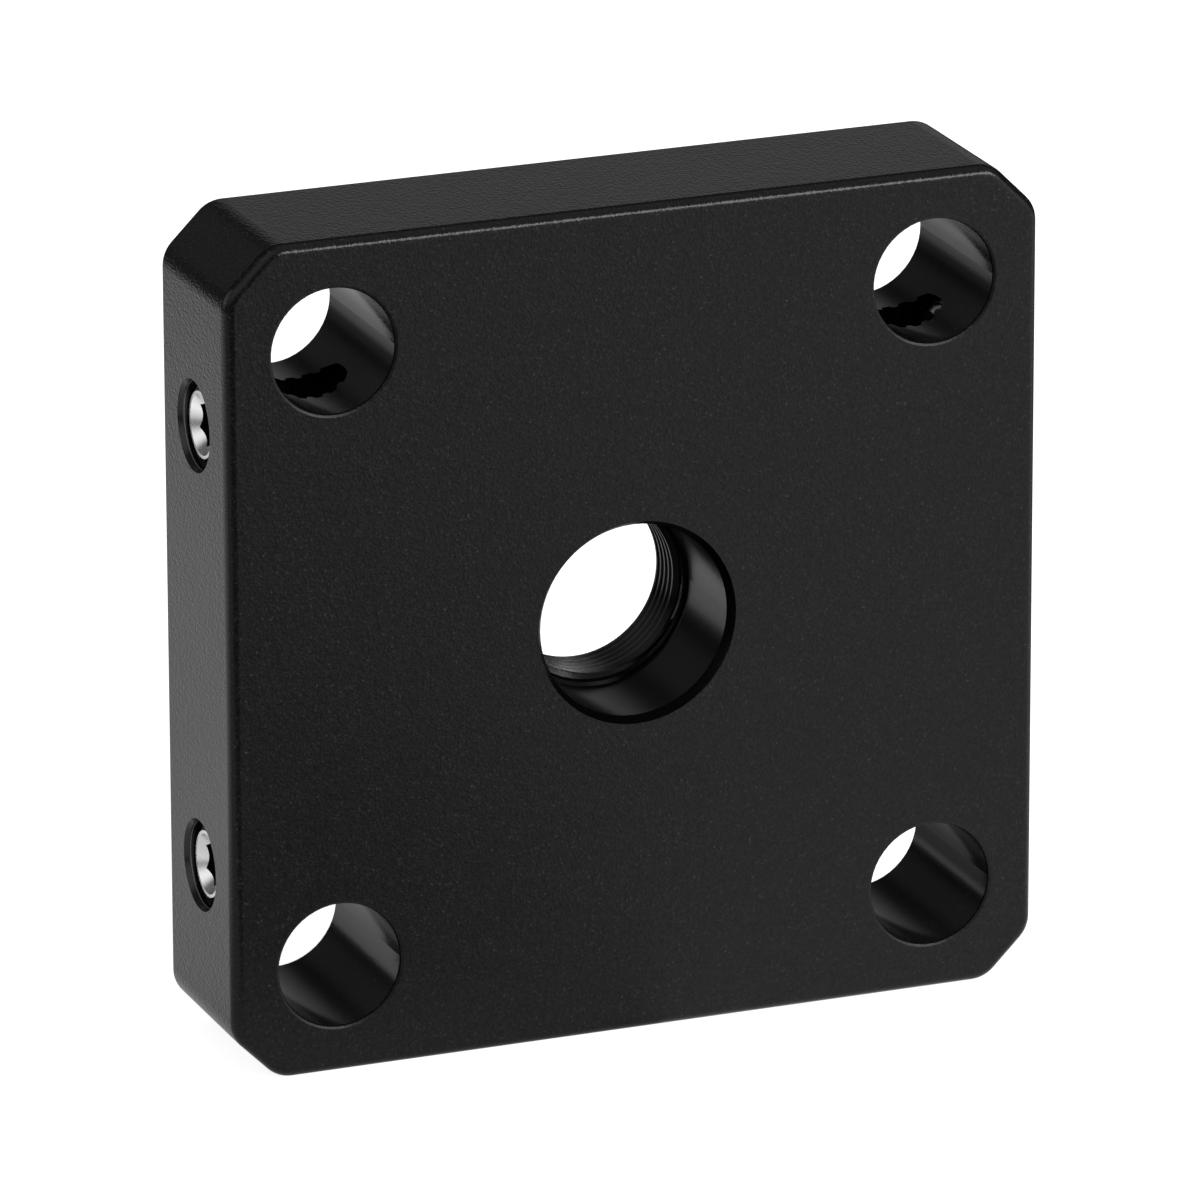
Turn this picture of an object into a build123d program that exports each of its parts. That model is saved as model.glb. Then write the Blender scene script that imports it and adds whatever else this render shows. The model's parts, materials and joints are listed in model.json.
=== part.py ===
from build123d import *
import math
import os

# Plate that slides on four rods and holds a small lens cell on the optical axis.
# Millimetres. X is to the right, Z is up and the front face looks towards -Y.
# The origin is on the optical axis, halfway through the plate.

# Plate
plate_size = 40.64
plate_depth = 8.89
corner_cut = 2.3
corner_radius = 1.6
face_edge_radius = 0.52

# Rods, in a square about the optical axis
rod_spacing = 30.0
rod_diameter = 6.0
rod_clearance = 0.02
bore_edge_radius = 0.15

# Centre bore, from the front: lead-in cone, plain bore, shoulder, fine thread for the lens cell
lens_bore_diameter = 9.4
lens_lead_width = 0.28
lens_lead_depth = 0.5
lens_shoulder_depth = 5.4
lens_thread_diameter = 9.0
lens_thread_front_break = 0.1
lens_thread_back_break = 0.13

# Set screws, measured from the socket end. The crest is the outside of the thread.
screw_crest_diameter = 4.12
screw_end_diameter = 3.2
screw_length = 3.175
socket_across_flats = 1.984
socket_depth = 1.4
socket_mouth_diameter = 2.9
point_diameter = 2.5
cup_diameter = 2.1
cup_depth = 0.55

# Side holes for the set screws. Each is bored beside its rod, close enough to break into the rod's bore.
screw_clearance = 0.04
screw_offset_from_rod = 4.22
screw_hole_depth = 7.35
screw_mouth_clearance = 0.12
screw_mouth_depth = 0.3
drill_point_angle = 118

# How far a set screw's socket end lies below the side face
screw_recess = 0.36

# Side and level of each set screw
set_screws = {
    "set_screw_upper_left": (-1, 1),
    "set_screw_lower_left": (-1, -1),
    "set_screw_upper_right": (1, 1),
    "set_screw_lower_right": (1, -1),
}

# Angle that each set screw happens to be turned to, in degrees
socket_angles = {
    "set_screw_upper_left": 7,
    "set_screw_lower_left": 0,
    "set_screw_upper_right": 20,
    "set_screw_lower_right": 41,
}

# How far a cutter stands out of the face that it starts from
cutter_overrun = 1.0

rod_bore_radius = rod_diameter / 2 + rod_clearance
screw_hole_radius = screw_crest_diameter / 2 + screw_clearance
screw_level = rod_spacing / 2 - screw_offset_from_rod


def turned(outline):
    """Solid turned about Z, from (radius, height) points with the lowest first."""
    bottom = outline[0][1]
    top = outline[-1][1]
    corners = dict.fromkeys([(0, bottom), *outline, (0, top)])
    with BuildPart() as solid:
        with BuildSketch(Plane.XZ):
            with BuildLine():
                Polyline(*corners, close=True)
            make_face()
        revolve(axis=Axis.Z)
    return solid.part


def from_front(x, z):
    """Place whose height runs from the front face to the back one, at (x, z)."""
    return Location((x, -plate_depth / 2, z), (-90, 0, 0))


def from_side(side, level):
    """Place whose height runs inwards from a side face, on a set screw's axis."""
    return Location((side * plate_size / 2, 0, level * screw_level), (0, -90 * side, 0))


def plate_blank():
    """Square with cut and rounded corners, and a soft edge round each face."""
    with BuildPart() as blank:
        with BuildSketch(Plane.XZ) as outline:
            Rectangle(plate_size, plate_size)
            chamfer(outline.vertices(), corner_cut)
            fillet(outline.vertices(), corner_radius)
        extrude(amount=plate_depth / 2, both=True)
        faces = blank.faces().sort_by(Axis.Y)
        fillet(faces[0].edges() + faces[-1].edges(), face_edge_radius)
    return blank.part


def rod_bore():
    """Cutter for one rod. Two cones at each mouth follow the round that softens it."""
    mouth = rod_bore_radius + bore_edge_radius
    knee = bore_edge_radius * (1 - math.sqrt(0.5))
    return turned([
        (mouth, -cutter_overrun),
        (mouth, 0),
        (rod_bore_radius + knee, knee),
        (rod_bore_radius, bore_edge_radius),
        (rod_bore_radius, plate_depth - bore_edge_radius),
        (rod_bore_radius + knee, plate_depth - knee),
        (mouth, plate_depth),
        (mouth, plate_depth + cutter_overrun),
    ])


def lens_bore():
    """Cutter for the stepped centre bore. The thread's wall is cut to the outside of the thread."""
    plain = lens_bore_diameter / 2
    thread = lens_thread_diameter / 2
    mouth = plain + lens_lead_width
    back_mouth = thread + lens_thread_back_break
    return turned([
        (mouth, -cutter_overrun),
        (mouth, 0),
        (plain, lens_lead_depth),
        (plain, lens_shoulder_depth),
        (thread + lens_thread_front_break, lens_shoulder_depth),
        (thread, lens_shoulder_depth + lens_thread_front_break),
        (thread, plate_depth - lens_thread_back_break),
        (back_mouth, plate_depth),
        (back_mouth + cutter_overrun, plate_depth + cutter_overrun),
    ])


def screw_hole():
    """Cutter for one set screw: a wider mouth, the threaded hole and the drill's point."""
    mouth = screw_hole_radius + screw_mouth_clearance
    point = screw_hole_radius / math.tan(math.radians(drill_point_angle / 2))
    return turned([
        (mouth, -cutter_overrun),
        (mouth, screw_mouth_depth),
        (screw_hole_radius, screw_mouth_depth),
        (screw_hole_radius, screw_hole_depth),
        (0, screw_hole_depth + point),
    ])


def plate():
    """The blank with its rod bores, centre bore and side holes."""
    body = plate_blank()
    body -= from_front(0, 0) * lens_bore()
    half = rod_spacing / 2
    for x in (-half, half):
        for z in (-half, half):
            body -= from_front(x, z) * rod_bore()
    for side, level in set_screws.values():
        body -= from_side(side, level) * screw_hole()
    return body


def set_screw():
    """Socket set screw with a cup point. Its height runs from the socket end to the point."""
    crest = screw_crest_diameter / 2
    end = screw_end_diameter / 2
    point = point_diameter / 2
    mouth = socket_mouth_diameter / 2
    cup = cup_diameter / 2
    screw = turned([
        (end, 0),
        (crest, crest - end),
        (crest, screw_length - (crest - point)),
        (point, screw_length),
    ])
    screw -= turned([(mouth, 0), (0, mouth)])
    screw -= turned([(0, screw_length - cup_depth), (cup, screw_length)])
    socket = RegularPolygon(socket_across_flats / 2, 6, major_radius=False)
    screw -= extrude(socket, socket_depth)
    return screw


os.makedirs("parts", exist_ok=True)

export_step(plate(), "parts/plate.step")
for name, (side, level) in set_screws.items():
    seat = from_side(side, level) * Location((0, 0, screw_recess), (0, 0, socket_angles[name]))
    export_step(seat * set_screw(), f"parts/{name}.step")
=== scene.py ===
import json
import math
import bmesh
import bpy
from mathutils import Matrix, Vector


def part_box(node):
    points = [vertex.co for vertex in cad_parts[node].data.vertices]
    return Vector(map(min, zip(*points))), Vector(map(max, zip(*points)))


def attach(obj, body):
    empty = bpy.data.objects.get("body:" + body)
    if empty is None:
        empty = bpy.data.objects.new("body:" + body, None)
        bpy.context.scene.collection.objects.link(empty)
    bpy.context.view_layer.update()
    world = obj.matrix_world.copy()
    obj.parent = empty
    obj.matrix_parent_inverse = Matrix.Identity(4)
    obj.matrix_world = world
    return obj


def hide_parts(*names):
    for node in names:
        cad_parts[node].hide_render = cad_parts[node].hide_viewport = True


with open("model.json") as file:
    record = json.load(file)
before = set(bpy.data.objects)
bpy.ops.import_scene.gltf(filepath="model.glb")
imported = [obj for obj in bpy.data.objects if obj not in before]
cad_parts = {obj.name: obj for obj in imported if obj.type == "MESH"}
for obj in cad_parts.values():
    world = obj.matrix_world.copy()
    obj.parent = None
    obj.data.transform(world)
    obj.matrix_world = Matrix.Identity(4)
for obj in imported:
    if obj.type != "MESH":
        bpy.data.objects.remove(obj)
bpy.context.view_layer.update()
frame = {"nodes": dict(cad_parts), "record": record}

# Square plate that slides on four rods, with a threaded lens seat and a set screw beside each rod bore.
# Metres. X is to the right, Z is up and the front face looks towards -Y.
MM = 0.001
mounts = {mount["name"]: mount for mount in frame["record"]["mounts"]}
screw_nodes = [name for name in sorted(frame["nodes"]) if name.startswith("set_screw")]

# Plate, from the frame
plate_low, plate_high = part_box("plate")
rod_bore = mounts["rod_bore_upper_right"]
rod_bore_radius = rod_bore["dims"]["r_mm"] * MM
rod_offset = abs(rod_bore["pos_m"][0])
lens_thread_root = mounts["lens_cell_thread"]["dims"]["r_mm"] * MM
lens_bore = mounts["lens_cell_clearance_bore"]
lens_bore_radius = lens_bore["dims"]["r_mm"] * MM
lens_shoulder = lens_bore["pos_m"][1] + lens_bore["dims"]["length_mm"] * MM / 2

# Fine thread of the lens seat, 9 mm by 0.5 mm. Its depth is the usual share of the pitch, and its ridge
# rises to full height over a share of a turn.
lens_pitch = 0.5 * MM
thread_depth_share = 0.5413
lens_crest = lens_thread_root - thread_depth_share * lens_pitch
lens_thread_front_mouth = 4.6 * MM
lens_thread_back_mouth = 4.63 * MM
lens_thread_rise = 0.3

# Set screws, number 8 with 32 threads to the inch. Sizes run from the socket end.
screw_low, screw_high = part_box("set_screw_upper_left")
screw_crest = (screw_high.z - screw_low.z) / 2
screw_length = screw_high.x - screw_low.x
screw_level = (screw_high.z + screw_low.z) / 2
screw_recess = screw_low.x - plate_low.x
screw_pitch = 25.4 / 32 * MM
screw_root = 1.62 * MM
screw_end = 1.6 * MM
screw_point = 1.25 * MM

# Where a socket's finish stops: a little past its corners, its coned mouth and its floor
socket_corner = 1.17 * MM
socket_mouth = 1.47 * MM
socket_floor = 1.6 * MM

# Side holes for the set screws, with a wider mouth. Sizes run inwards from the side face.
screw_clearance = 0.04 * MM
screw_mouth_clearance = 0.12 * MM
screw_hole_radius = screw_crest + screw_clearance
screw_hole_crest = 1.88 * MM
screw_hole_depth = 7.35 * MM
screw_mouth_radius = screw_hole_radius + screw_mouth_clearance
screw_mouth_depth = 0.3 * MM
mouth_cone_start = 0.005 * MM
mouth_cone_end = 0.21 * MM

# Threads: how far a ridge's foot is sunk in its wall, the slope of its flanks, the points in a turn and
# how close two points are when they count as one
buried = 0.01 * MM
flank = math.tan(math.radians(30))
turn_steps = 96
same_point = 0.0001 * MM


def linear(colour):
    """The linear colour of an sRGB hex value."""
    parts = [int(colour[i:i + 2], 16) / 255 for i in (1, 3, 5)]
    return [c / 12.92 if c <= 0.04045 else ((c + 0.055) / 1.055) ** 2.4 for c in parts] + [1.0]


def add(tree, kind, settings, inputs, stops=()):
    """Adds a node with its settings, and with each input set to a value or linked to a socket. Inputs go by
    name or by number: a MapRange has its value, two limits to read between and two to give back, and a Mix
    has its factor at 0 and what it mixes at 2 and 3. Stops are a ramp's places and colours, in order."""
    made = tree.nodes.new("ShaderNode" + kind)
    for name, value in settings.items():
        setattr(made, name, value)
    for key, value in inputs.items():
        if isinstance(value, bpy.types.NodeSocket):
            tree.links.new(value, made.inputs[key])
        else:
            made.inputs[key].default_value = value
    if stops:
        ramp = made.color_ramp.elements
        ramp[0].position = stops[0][0]
        ramp[1].position = stops[-1][0]
        for at, _ in stops[1:-1]:
            ramp.new(at)
        for stop, (_, colour) in zip(ramp, stops):
            stop.color = colour
    return made


def compass(azimuth, elevation):
    """Direction from the object, as the views count it: azimuth 0 is in front, along -Y."""
    a = math.radians(azimuth)
    e = math.radians(elevation)
    return Vector((math.sin(a) * math.cos(e), -math.cos(a) * math.cos(e), math.sin(e)))


def empty_material(name):
    """A material with nothing in it, and its node tree."""
    material = bpy.data.materials.new(name)
    material.use_nodes = True
    material.node_tree.nodes.clear()
    return material, material.node_tree


def near_axis(tree, first, first_at, second, second_at, radius):
    """1 within that radius of a bore's axis, which is at those two places, and 0 elsewhere."""
    a = add(tree, "Math", {"operation": "SUBTRACT"}, {0: first, 1: first_at}).outputs[0]
    b = add(tree, "Math", {"operation": "SUBTRACT"}, {0: second, 1: second_at}).outputs[0]
    off = add(tree, "CombineXYZ", {}, {0: a, 1: b}).outputs[0]
    far = add(tree, "VectorMath", {"operation": "LENGTH"}, {0: off}).outputs["Value"]
    return add(tree, "Math", {"operation": "LESS_THAN"}, {0: far, 1: radius}).outputs[0]


def black_anodised_aluminium(name, film_ior):
    """Aluminium, milled, blasted, then anodised and dyed black. The blast leaves fine pits all over the
    outside, so the eye sees a soft sheen over near black with a few paler specks. It didn't reach the drilled
    walls, so they are smoother and mirror what is behind the plate. Painted shade darkens the lens bore, each
    side hole's mouth has a painted grey reflection and a pale painted highlight line, and the crests of the
    lens thread have a painted highlight. The film's index is fitted to the photograph and is below a real
    film's, which is 1.6 or more."""
    material, tree = empty_material(name)
    from_object = add(tree, "TexCoord", {}, {}).outputs
    place = from_object["Object"]
    apart = add(tree, "SeparateXYZ", {}, {0: place}).outputs
    across = add(tree, "Math", {"operation": "ABSOLUTE"}, {0: apart[0]}).outputs[0]
    upward = add(tree, "Math", {"operation": "ABSOLUTE"}, {0: apart[2]}).outputs[0]

    # Walls, each with its rim: how far past a bore's radius its own finish runs
    past_wall = 0.02 * MM
    past_rod_rim = 0.17 * MM
    past_lens_rim = 0.26 * MM
    past_screw_rim = 0.15 * MM
    rods = near_axis(tree, across, rod_offset, upward, rod_offset, rod_bore_radius + past_wall)
    rod_rims = near_axis(tree, across, rod_offset, upward, rod_offset, rod_bore_radius + past_rod_rim)
    lens = near_axis(tree, across, 0.0, upward, 0.0, lens_bore_radius + past_lens_rim)
    crests = near_axis(tree, across, 0.0, upward, 0.0, lens_crest + past_wall)
    screws = near_axis(tree, apart[1], 0.0, upward, screw_level, screw_hole_radius + past_screw_rim)
    bores = add(tree, "Math", {"operation": "MAXIMUM"}, {0: rods, 1: lens}).outputs[0]
    drilled = add(tree, "Math", {"operation": "MAXIMUM"}, {0: bores, 1: screws}).outputs[0]

    # Faces are the front and the back. Sides are the four others and the corner cuts.
    normal = add(tree, "SeparateXYZ", {}, {0: from_object["Normal"]}).outputs
    frontward = add(tree, "Math", {"operation": "ABSOLUTE"}, {0: normal[1]}).outputs[0]
    soft = {"interpolation_type": "SMOOTHSTEP"}
    faces = add(tree, "MapRange", soft, {0: frontward, 1: 0.99, 2: 0.9995}).outputs[0]
    sides = add(tree, "MapRange", {}, {0: frontward, 1: 0.0, 2: 0.1, 3: 1.0, 4: 0.0}).outputs[0]

    # Blast pits are usually about 0.05 mm across, too fine to show, so they are drawn over twice as coarse,
    # and twice as long from front to back, as the sides are seen at a slant. The gloss varies in wider clouds.
    blast_pit = 0.12 * MM
    pit_depth = 0.029 * MM
    cloud = 2.5 * MM
    lengthened = (1.0, 0.5, 1.0)
    drawn_out = add(tree, "VectorMath", {"operation": "MULTIPLY"}, {0: place, 1: lengthened}).outputs[0]
    grain = {"Vector": drawn_out, "Scale": 1 / blast_pit, "Detail": 1.0}
    pits = add(tree, "TexNoise", {}, grain).outputs["Fac"]
    clouds = add(tree, "TexNoise", {}, {"Vector": place, "Scale": 1 / cloud, "Detail": 2.0}).outputs["Fac"]

    # Colour: the dye, with painted shade in the lens bore, then the painted highlight on the lens thread's
    # crests and the painted reflection in the side holes' mouths on top
    dye = add(tree, "ValToRGB", {}, {"Fac": pits}, [
        (0.3, linear("#070708")), (0.7, linear("#161616")), (0.84, linear("#3c3c3c")),
    ]).outputs["Color"]
    # Painted shade: the lens bore's colour is darkened
    dye_with_painted_shade = add(tree, "Mix", {"data_type": "RGBA"}, {
        "Factor": lens, "A": dye, "B": linear("#050505"),
    }).outputs["Result"]
    # Painted highlight: paler colour on the lens thread's crests
    with_painted_crest_highlight = add(tree, "Mix", {"data_type": "RGBA", "blend_type": "ADD"}, {
        "Factor": crests, "A": dye_with_painted_shade, "B": linear("#3c3c3c"),
    }).outputs["Result"]
    # Painted reflection and highlight: a grey band in each side hole's mouth, then a pale line
    mouth_light_reach = 0.4 * MM
    below_side = add(tree, "Math", {"operation": "SUBTRACT"}, {0: plate_high.x, 1: across}).outputs[0]
    into_hole = add(tree, "MapRange", {}, {0: below_side, 2: mouth_light_reach}).outputs[0]
    painted_mouth_light = add(tree, "ValToRGB", {}, {"Fac": into_hole}, [
        (0.0, linear("#000000")), (0.06, linear("#161616")), (0.62, linear("#161616")),
        (0.7, linear("#747474")), (0.76, linear("#747474")), (0.82, linear("#000000")),
    ]).outputs["Color"]
    tint = add(tree, "Mix", {"data_type": "RGBA", "blend_type": "ADD"}, {
        "Factor": screws, "A": with_painted_crest_highlight, "B": painted_mouth_light,
    }).outputs["Result"]

    # Roughness between the pits: sides and rims are smoothest, and faces and the rod bores' rims are dull
    smooth_side = add(tree, "MapRange", {}, {0: clouds, 1: 0.3, 2: 0.7, 3: 0.16, 4: 0.2}).outputs[0]
    dull_face = add(tree, "MapRange", {}, {0: clouds, 1: 0.3, 2: 0.7, 3: 0.38, 4: 0.42}).outputs[0]
    dull_rim = 0.38
    drilled_wall = 0.18
    rims = add(tree, "Mix", {"data_type": "FLOAT"}, {0: rod_rims, 2: smooth_side, 3: dull_rim}).outputs[0]
    outside = add(tree, "Mix", {"data_type": "FLOAT"}, {0: faces, 2: rims, 3: dull_face}).outputs[0]
    roughness = add(tree, "Mix", {"data_type": "FLOAT"}, {0: drilled, 2: outside, 3: drilled_wall}).outputs[0]

    # Pits: full on the sides, less on the faces, least on the rims, and hardly any on drilled walls
    on_faces = add(tree, "Math", {"operation": "MULTIPLY"}, {0: faces, 1: 0.5}).outputs[0]
    blast = add(tree, "Math", {"operation": "MAXIMUM"}, {0: on_faces, 1: sides}).outputs[0]
    blasted = add(tree, "MapRange", {}, {0: blast, 3: 0.4, 4: 1.0}).outputs[0]
    pitted = add(tree, "Mix", {"data_type": "FLOAT"}, {0: drilled, 2: blasted, 3: 0.1}).outputs[0]
    bump = add(tree, "Bump", {}, {"Height": pits, "Strength": pitted, "Distance": pit_depth}).outputs[0]
    shader = add(tree, "BsdfPrincipled", {}, {
        "Base Color": tint,
        "Roughness": roughness,
        "IOR": film_ior,
        "Normal": bump,
    })
    add(tree, "OutputMaterial", {}, {"Surface": shader.outputs[0]})
    return material


def turned_steel():
    """Stainless steel of the set screws, cut on a lathe: bright, with fine marks left by the tool. The
    broached walls of the socket are rough and coloured near black, so the socket looks black."""
    material, tree = empty_material("turned_steel")
    place = add(tree, "TexCoord", {}, {}).outputs["Object"]
    apart = add(tree, "SeparateXYZ", {}, {0: place}).outputs
    across = add(tree, "Math", {"operation": "ABSOLUTE"}, {0: apart[0]}).outputs[0]
    upward = add(tree, "Math", {"operation": "ABSOLUTE"}, {0: apart[2]}).outputs[0]

    # The socket is narrower than its corners, below its coned mouth and above its floor
    off_axis = add(tree, "Math", {"operation": "SUBTRACT"}, {0: upward, 1: screw_level}).outputs[0]
    off = add(tree, "CombineXYZ", {}, {0: apart[1], 1: off_axis}).outputs[0]
    radius = add(tree, "VectorMath", {"operation": "LENGTH"}, {0: off}).outputs["Value"]
    depth = add(tree, "Math", {"operation": "SUBTRACT"}, {0: -screw_low.x, 1: across}).outputs[0]
    past_cone = add(tree, "Math", {"operation": "ADD"}, {0: depth, 1: radius}).outputs[0]
    narrow = add(tree, "Math", {"operation": "LESS_THAN"}, {0: radius, 1: socket_corner}).outputs[0]
    sunk = add(tree, "Math", {"operation": "GREATER_THAN"}, {0: past_cone, 1: socket_mouth}).outputs[0]
    outer = add(tree, "Math", {"operation": "LESS_THAN"}, {0: depth, 1: socket_floor}).outputs[0]
    inside = add(tree, "Math", {"operation": "MULTIPLY"}, {0: narrow, 1: sunk}).outputs[0]
    socket = add(tree, "Math", {"operation": "MULTIPLY"}, {0: inside, 1: outer}).outputs[0]

    # The tool's marks are as fine as the picture can show
    tool_mark = 0.05 * MM
    mark_depth = 0.002 * MM
    socket_wall_roughness = 0.45
    marks = add(tree, "TexNoise", {}, {"Vector": place, "Scale": 1 / tool_mark, "Detail": 2.0}).outputs["Fac"]
    bright = add(tree, "ValToRGB", {}, {"Fac": marks}, [
        (0.0, linear("#dadada")), (1.0, linear("#f0f0f0")),
    ]).outputs["Color"]
    # The socket's walls are coloured near black
    metal = add(tree, "Mix", {"data_type": "RGBA"}, {
        "Factor": socket, "A": bright, "B": linear("#2a2a2a"),
    }).outputs["Result"]
    turned = add(tree, "MapRange", {}, {0: marks, 1: 0.3, 2: 0.7, 3: 0.24, 4: 0.34}).outputs[0]
    roughness = add(tree, "Mix", {"data_type": "FLOAT"}, {0: socket, 2: turned, 3: socket_wall_roughness}).outputs[0]
    bump = add(tree, "Bump", {}, {"Height": marks, "Strength": 0.1, "Distance": mark_depth}).outputs[0]
    shader = add(tree, "BsdfPrincipled", {}, {
        "Base Color": metal,
        "Metallic": 1.0,
        "Roughness": roughness,
        "Normal": bump,
    })
    add(tree, "OutputMaterial", {}, {"Surface": shader.outputs[0]})
    return material


def white_sweep():
    """Studio sweep, painted matt white, that the object stands on. The camera sees it as plain white, with
    the object's shadow left on it. Only mirrored rays see a pattern of light on it: bright at the sides and
    behind, dark in front, with shade behind at the right. The pattern is fitted to what the bores
    mirror in the photograph. Distances start below the object's middle."""
    material, tree = empty_material("white_sweep")
    rays = add(tree, "LightPath", {}, {}).outputs
    place = add(tree, "TexCoord", {}, {}).outputs["Object"]
    across, along, _ = add(tree, "SeparateXYZ", {}, {0: place}).outputs
    outward = add(tree, "VectorMath", {"operation": "NORMALIZE"}, {0: place}).outputs[0]
    far = add(tree, "VectorMath", {"operation": "LENGTH"}, {0: place}).outputs["Value"]
    soft = {"interpolation_type": "SMOOTHSTEP"}
    darkest_side = compass(-22, 0)
    pale_wall_side = compass(-108, 0)
    lamp_side = compass(68, 0)

    # Light on the floor by direction, from straight behind to the darkest side in front
    to_dark = add(tree, "VectorMath", {"operation": "DOT_PRODUCT"}, {0: outward, 1: darkest_side})
    facing = add(tree, "MapRange", {}, {0: to_dark.outputs["Value"], 1: -1.0, 2: 1.0}).outputs[0]
    by_direction = (
        (0.0, 0.72), (0.42, 0.8), (0.75, 0.75), (0.86, 0.72), (0.933, 0.58), (0.975, 0.18), (1.0, 0.15),
    )
    stops = [(at, [grey, grey, grey, 1.0]) for at, grey in by_direction]
    around = add(tree, "ValToRGB", {}, {"Fac": facing}, stops).outputs["Color"]
    under_plate = 0.72
    past_plate = add(tree, "MapRange", soft, {0: far, 1: 0.01, 2: 0.024}).outputs[0]
    spread = add(tree, "Mix", {"data_type": "FLOAT"}, {0: past_plate, 2: under_plate, 3: around}).outputs[0]

    # The band of shade behind the plate starts at a slanted line
    slanted = add(tree, "Math", {"operation": "MULTIPLY_ADD"}, {0: along, 1: -0.48, 2: across}).outputs[0]
    shaded = add(tree, "MapRange", soft, {0: slanted, 1: -0.03, 2: -0.008, 3: 1.0, 4: 0.38}).outputs[0]
    in_front = add(tree, "Math", {"operation": "LESS_THAN"}, {0: along, 1: 0.0}).outputs[0]
    unshaded = add(tree, "Math", {"operation": "MAXIMUM"}, {0: shaded, 1: in_front}).outputs[0]

    # Light falls off away from the plate, and a little at its foot
    falloff = add(tree, "MapRange", soft, {0: far, 1: 0.08, 2: 0.28, 3: 1.0, 4: 0.15}).outputs[0]
    foot = add(tree, "MapRange", soft, {0: far, 1: 0.03, 2: 0.08, 3: 0.9, 4: 1.0}).outputs[0]
    pool = add(tree, "Math", {"operation": "MULTIPLY"}, {0: falloff, 1: foot}).outputs[0]
    open_floor = add(tree, "Math", {"operation": "MULTIPLY"}, {0: unshaded, 1: pool}).outputs[0]
    lit = add(tree, "Math", {"operation": "MULTIPLY"}, {0: open_floor, 1: spread}).outputs[0]

    # Light spilt by the pale wall at the left
    to_wall = add(tree, "VectorMath", {"operation": "DOT_PRODUCT"}, {0: outward, 1: pale_wall_side})
    near_wall = {0: to_wall.outputs["Value"], 1: 0.85, 2: 0.98, 4: 0.8}
    wall_side = add(tree, "MapRange", soft, near_wall).outputs[0]
    off_plate = add(tree, "MapRange", soft, {0: far, 1: 0.03, 2: 0.06}).outputs[0]
    spill = add(tree, "Math", {"operation": "MULTIPLY"}, {0: wall_side, 1: off_plate}).outputs[0]
    lit = add(tree, "Math", {"operation": "MULTIPLY_ADD"}, {0: spill, 1: pool, 2: lit}).outputs[0]

    # Light of the lamp, in front of the plate at the right
    to_lamp = add(tree, "VectorMath", {"operation": "DOT_PRODUCT"}, {0: outward, 1: lamp_side})
    beside_lamp = add(tree, "MapRange", soft, {0: to_lamp.outputs["Value"], 1: 0.4, 2: 0.7}).outputs[0]
    ahead = add(tree, "MapRange", soft, {0: along, 1: 0.0, 2: 0.01, 3: 1.0, 4: 0.0}).outputs[0]
    lamp_lit = add(tree, "Math", {"operation": "MULTIPLY"}, {0: beside_lamp, 1: ahead}).outputs[0]
    lit = add(tree, "Math", {"operation": "MAXIMUM"}, {0: lit, 1: lamp_lit}).outputs[0]

    seen_glow = 0.84
    camera_ray, glossy_ray = rays["Is Camera Ray"], rays["Is Glossy Ray"]
    mirrored = add(tree, "Math", {"operation": "MULTIPLY"}, {0: glossy_ray, 1: lit}).outputs[0]
    strength = add(tree, "Math", {"operation": "MULTIPLY_ADD"}, {0: camera_ray, 1: seen_glow, 2: mirrored})
    paint = add(tree, "BsdfDiffuse", {}, {"Color": linear("#e6e6e6")}).outputs[0]
    glow = add(tree, "Emission", {}, {"Color": linear("#ffffff"), "Strength": strength.outputs[0]}).outputs[0]
    glowing_paint = add(tree, "AddShader", {}, {0: paint, 1: glow}).outputs[0]
    surface = add(tree, "MixShader", {}, {0: glossy_ray, 1: glowing_paint, 2: glow}).outputs[0]
    add(tree, "OutputMaterial", {}, {"Surface": surface})
    return material


def piece(name, mesh, body, material):
    """A new object that rides on a body, with its finish."""
    made = bpy.data.objects.new(name, mesh)
    bpy.context.scene.collection.objects.link(made)
    mesh.materials.append(material)
    for face in mesh.polygons:
        face.use_smooth = True
    mesh.set_sharp_from_angle(angle=math.radians(30))
    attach(made, body)
    return made


def finished(name, shell):
    """The mesh of a shell that is done, and the shell is let go."""
    mesh = bpy.data.meshes.new(name)
    shell.to_mesh(mesh)
    shell.free()
    return mesh


def skin(name, rings, closed):
    """Mesh through a row of rings. Either the last ring meets the first, or each end has a cap and points
    that have come together are merged."""
    shell = bmesh.new()
    rows = [[shell.verts.new(point) for point in ring] for ring in rings]
    following = rows[1:] + rows[:1] if closed else rows[1:]
    for before, after in zip(rows, following):
        for k in range(len(before)):
            n = (k + 1) % len(before)
            shell.faces.new((before[k], before[n], after[n], after[k]))
    if not closed:
        shell.faces.new(rows[0][::-1])
        shell.faces.new(rows[-1])
        bmesh.ops.remove_doubles(shell, verts=shell.verts, dist=same_point)
    bmesh.ops.recalc_face_normals(shell, faces=shell.faces)
    return finished(name, shell)


def ridge(pitch, turns, first, profile, reach, fade=0.0, ends=(-1.0, 1.0)):
    """Thread ridge about Z, right-handed, as a mesh. Its middle is at height first where it crosses +X.
    The profile is (radius, height) points, and reach(radius, height) trims each point's radius. It rises
    out of the wall over the first part of a turn given by fade, and sinks back over the last. No point
    of it goes past either of the two heights in ends."""
    rings = []
    last = int(turns * turn_steps)
    wall = profile[0][0]
    for i in range(last + 1):
        angle = 2 * math.pi * i / turn_steps
        rise = min(1.0, i / (fade * turn_steps), (last - i) / (fade * turn_steps)) if fade else 1.0
        ring = []
        for radius, along in profile:
            height = min(max(first + pitch * i / turn_steps + along, ends[0]), ends[1])
            out = reach(wall + (radius - wall) * rise, height)
            ring.append((out * math.cos(angle), out * math.sin(angle), height))
        rings.append(ring)
    return skin("ridge", rings, closed=False)


def ridge_profile(foot, foot_half, crest, crest_half):
    """Cross-section of a thread's ridge, as (radius, height) points about its middle."""
    return [(foot, -foot_half), (crest, -crest_half), (crest, crest_half), (foot, foot_half)]


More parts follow.
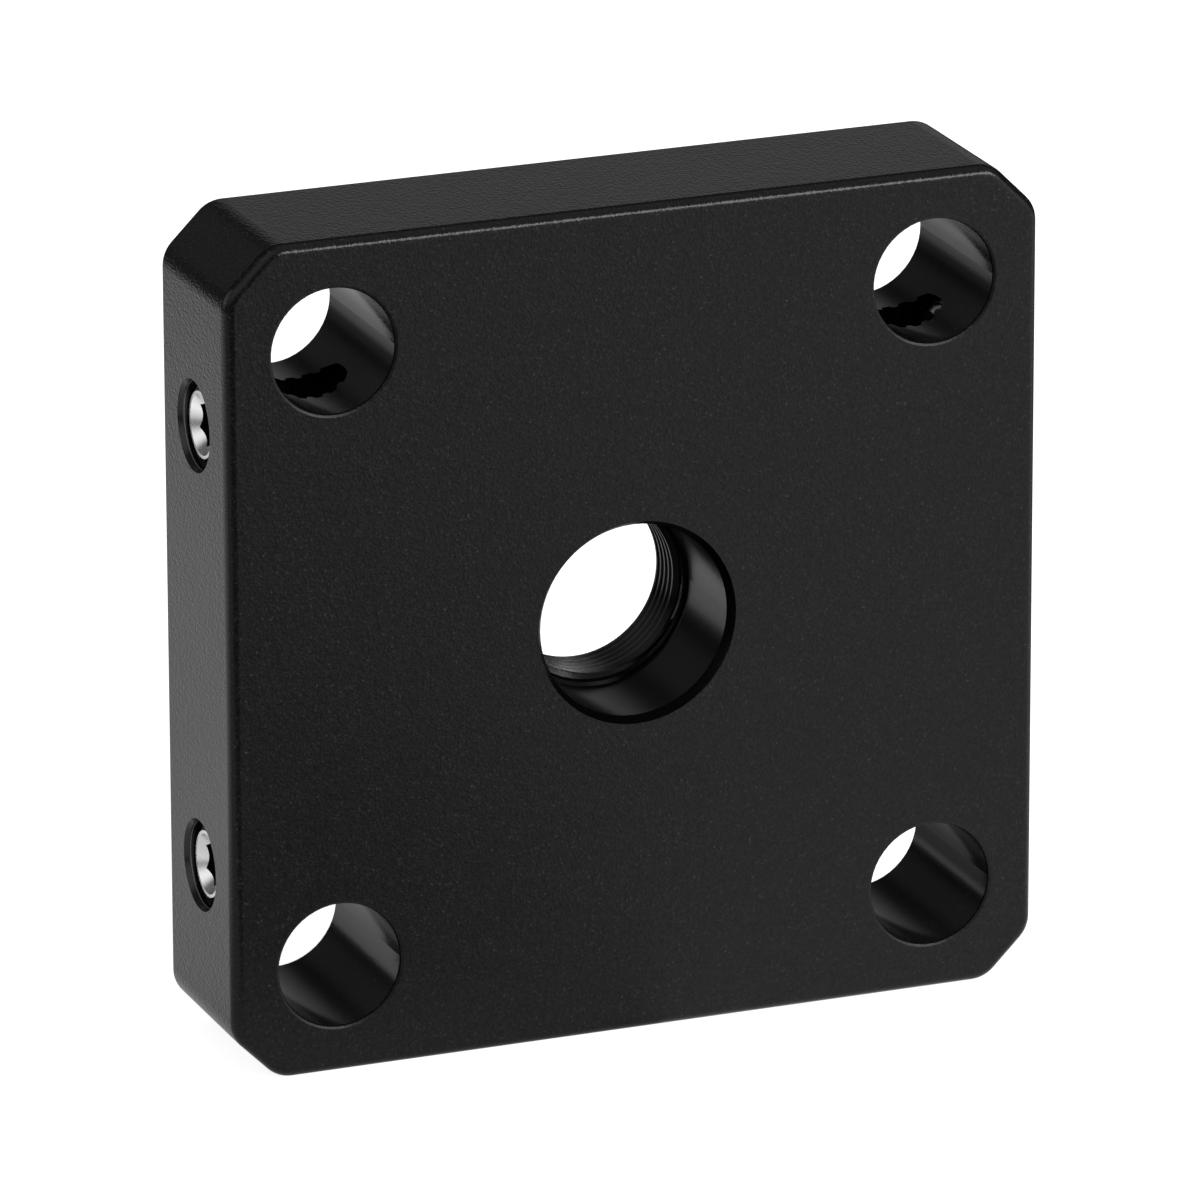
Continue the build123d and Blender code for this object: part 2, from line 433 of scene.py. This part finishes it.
def turned_ring(outline):
    """Ring about Z whose cross-section has those (radius, height) corners, as a mesh."""
    rings = []
    for i in range(turn_steps):
        angle = 2 * math.pi * i / turn_steps
        rings.append([(r * math.cos(angle), r * math.sin(angle), h) for r, h in outline])
    return skin("ring", rings, closed=True)


def without(mesh, cutter):
    """The mesh with the cutter's space taken out of it."""
    scene = bpy.context.scene
    kept = bpy.data.objects.new("kept", mesh)
    tool = bpy.data.objects.new("tool", cutter)
    scene.collection.objects.link(kept)
    scene.collection.objects.link(tool)
    cut = kept.modifiers.new("cut", "BOOLEAN")
    cut.operation = "DIFFERENCE"
    cut.object = tool
    cut.solver = "EXACT"
    bpy.context.view_layer.update()
    left = bpy.data.meshes.new_from_object(kept.evaluated_get(bpy.context.evaluated_depsgraph_get()))
    bpy.data.objects.remove(kept)
    bpy.data.objects.remove(tool)
    return left


def rod_space(x, z):
    """Closed cylinder along Y that fills one rod bore."""
    shell = bmesh.new()
    bmesh.ops.create_cone(
        shell, cap_ends=True, segments=180,
        radius1=rod_bore_radius, radius2=rod_bore_radius, depth=2 * (plate_high.y - plate_low.y),
    )
    mesh = finished("rod_space", shell)
    mesh.transform(Matrix.Translation((x, 0, z)) @ Matrix.Rotation(math.radians(90), 4, "X"))
    return mesh


def lens_reach(radius, height):
    """Both mouths of the lens thread are opened by 45 degree cones."""
    front = lens_thread_front_mouth - (height - lens_shoulder)
    back = lens_thread_back_mouth - (plate_high.y - height)
    return max(radius, front, back)


def hole_reach(radius, height):
    """The tap's lead opens the first turn of a side hole to a 45 degree cone."""
    return max(radius, screw_hole_radius + buried - (height - screw_mouth_depth))


def screw_reach(radius, height):
    """Both ends of a set screw are turned down at 45 degrees before the thread is cut."""
    own = height - screw_recess
    return min(radius, screw_end + own, screw_point + screw_length - own)


def threaded(core, level, turns):
    """A set screw's solid, drawn in to the root of its thread, together with the turns of the thread."""
    for vertex in core.vertices:
        off = Vector((0, vertex.co.y, vertex.co.z - level))
        if off.length > screw_root:
            off *= screw_root / off.length
            vertex.co.y = off.y
            vertex.co.z = level + off.z
    whole = bmesh.new()
    whole.from_mesh(core)
    whole.from_mesh(turns)
    mesh = finished("screw", whole)
    mesh.materials.clear()
    return mesh


# Finishes. Both film indices are fitted to the photograph, where a side hole's mouth is the glossier.
plain_film = 1.3
burnished_film = 1.45
anodised = black_anodised_aluminium("black_anodised_aluminium", plain_film)
burnished = black_anodised_aluminium("burnished_anodised_aluminium", burnished_film)
steel = turned_steel()

# Plate
plate = frame["nodes"]["plate"]
plate.data.materials.clear()
plate.data.materials.append(anodised)

# Turns of the lens thread, which rise and sink over the first and the last part of a turn
lens_profile = ridge_profile(lens_thread_root + buried, lens_pitch * 7 / 16, lens_crest, lens_pitch / 8)
lens_turns = (plate_high.y - lens_shoulder) / lens_pitch - 1
first_lens_turn = lens_shoulder + lens_pitch / 2
lens_ridge = ridge(lens_pitch, lens_turns, first_lens_turn, lens_profile, lens_reach, lens_thread_rise)
lens_ridge.transform(Matrix.Rotation(math.radians(-90), 4, "X"))
piece("lens_thread", lens_ridge, "plate", anodised)

# Cross-sections of the side holes' thread, the set screws' thread and the ring in each hole's mouth. The
# crest's half width is an eighth of the pitch in a hole, and a sixteenth on a screw.
hole_foot = screw_hole_radius + buried
hole_foot_half = screw_pitch / 8 + (hole_foot - screw_hole_crest) * flank
hole_profile = ridge_profile(hole_foot, hole_foot_half, screw_hole_crest, screw_pitch / 8)
screw_foot_half = screw_pitch / 16 + (screw_crest - screw_root + buried) * flank
screw_profile = ridge_profile(screw_root - buried, screw_foot_half, screw_crest, screw_pitch / 16)
mouth_outline = [
    (screw_mouth_radius + buried, mouth_cone_start),
    (screw_mouth_radius, mouth_cone_start),
    (screw_hole_radius, mouth_cone_end),
    (screw_hole_radius, screw_mouth_depth + buried),
    (screw_mouth_radius + buried, screw_mouth_depth + buried),
]

# Each side hole's mouth and thread, and the set screw in it. The screw's ridge runs in the hole's groove.
first_hole_turn = screw_mouth_depth + screw_pitch / 2
hole_turns = (screw_hole_depth - screw_mouth_depth) / screw_pitch - 1
screw_ends = (screw_recess + buried, screw_recess + screw_length - buried)
for name in screw_nodes:
    low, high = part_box(name)
    side = 1 if high.x > 0 else -1
    level = (low.z + high.z) / 2
    inwards = Matrix.Rotation(math.radians(-90 * side), 4, "Y")
    from_side = Matrix.Translation((side * plate_high.x, 0, level)) @ inwards
    corner = name.removeprefix("set_screw_")

    mouth_ring = turned_ring(mouth_outline)
    mouth_ring.transform(from_side)
    piece("hole_mouth_" + corner, mouth_ring, "plate", burnished)

    hole_ridge = ridge(screw_pitch, hole_turns, first_hole_turn, hole_profile, hole_reach)
    hole_ridge.transform(from_side)
    hole_ridge = without(hole_ridge, rod_space(side * rod_offset, math.copysign(rod_offset, level)))
    piece("hole_thread_" + corner, hole_ridge, "plate", anodised)

    screw_ridge = ridge(
        screw_pitch, screw_length / screw_pitch,
        first_hole_turn - screw_pitch / 2, screw_profile, screw_reach, ends=screw_ends,
    )
    screw_ridge.transform(from_side)
    screw_mesh = threaded(frame["nodes"][name].data.copy(), level, screw_ridge)
    screw = piece("threaded_" + name, screw_mesh, name, steel)
    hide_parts(name)

# Sweep under the plate
sweep_reach = 1.5
sweep_corners = [(x * sweep_reach, y * sweep_reach, 0) for x, y in ((-1, -1), (1, -1), (1, 1), (-1, 1))]
sweep_mesh = bpy.data.meshes.new("sweep")
sweep_mesh.from_pydata(sweep_corners, [], [(0, 1, 2, 3)])
sweep_mesh.materials.append(white_sweep())
sweep = bpy.data.objects.new("sweep", sweep_mesh)
sweep.location.z = plate_low.z
bpy.context.scene.collection.objects.link(sweep)


def softbox(name, azimuth, elevation, distance, width, height, radiance):
    """Rectangular lamp that faces the object. Its power follows from the radiance of its front."""
    data = bpy.data.lights.new(name, "AREA")
    data.shape = "RECTANGLE"
    data.size = width
    data.size_y = height
    data.energy = radiance * math.pi * width * height
    lamp = bpy.data.objects.new(name, data)
    away = compass(azimuth, elevation)
    lamp.location = away * distance
    lamp.rotation_mode = "QUATERNION"
    lamp.rotation_quaternion = away.to_track_quat("Z", "Y")
    lamp.visible_camera = False
    bpy.context.scene.collection.objects.link(lamp)


softbox("key", azimuth=34, elevation=26, distance=0.6, width=0.40, height=0.17, radiance=10.5)

# Pale walls and panels of the studio: azimuth, elevation, spread in degrees and radiance in the middle.
# The camera sees white instead. They and the lamp are fitted to the light on each side in the photograph.
pale_walls = [
    (156, 8, 24, 0.21),
    (55, 66, 50, 0.46),
    (-45, 38, 45, 0.8),
    (42, 8, 34, 1.5),
    (-160, 22, 20, 0.09),
    (-105, 15, 32, 1.5),
]
dim_room = 0.05
white_backdrop = 1.0

world = bpy.data.worlds.new("studio")
bpy.context.scene.world = world
world.use_nodes = True
tree = world.node_tree
tree.nodes.clear()
seen = add(tree, "LightPath", {}, {}).outputs["Is Camera Ray"]
outward = add(tree, "TexCoord", {}, {}).outputs["Generated"]
room = dim_room
for azimuth, elevation, spread, radiance in pale_walls:
    middle = compass(azimuth, elevation)
    towards = add(tree, "VectorMath", {"operation": "DOT_PRODUCT"}, {0: outward, 1: middle}).outputs["Value"]
    edge = math.cos(math.radians(spread))
    glow = {0: towards, 1: edge, 2: 1.0, 4: radiance}
    wall = add(tree, "MapRange", {"interpolation_type": "SMOOTHSTEP"}, glow)
    room = add(tree, "Math", {"operation": "ADD"}, {0: room, 1: wall.outputs[0]}).outputs[0]
strength = add(tree, "Mix", {"data_type": "FLOAT"}, {0: seen, 2: room, 3: white_backdrop}).outputs[0]
sky = add(tree, "Background", {}, {"Color": linear("#ffffff"), "Strength": strength}).outputs[0]
add(tree, "OutputWorld", {}, {"Surface": sky})

# Camera, fitted to the photograph. Its focal length is in pixels of a picture of that width.
camera_azimuth = -21.5793
camera_elevation = 18.3496
camera_roll = -0.1492
camera_distance = 0.528057
camera_focal = 11197.43
picture_width = 1200
aim_right = -0.1258 * MM
aim_up = -0.225 * MM
data = bpy.data.cameras.new("camera")
data.sensor_width = 36
data.lens = camera_focal / picture_width * data.sensor_width
data.clip_start = 0.01
data.clip_end = 10
camera = bpy.data.objects.new("camera", data)
away = compass(camera_azimuth, camera_elevation)
turn = away.to_track_quat("Z", "Y") @ Matrix.Rotation(math.radians(camera_roll), 3, "Z").to_quaternion()
camera.rotation_mode = "QUATERNION"
camera.rotation_quaternion = turn
camera.location = away * camera_distance + turn @ Vector((aim_right, aim_up, 0))
bpy.context.scene.collection.objects.link(camera)
bpy.context.scene.camera = camera
bpy.context.scene.view_settings.view_transform = "Standard"
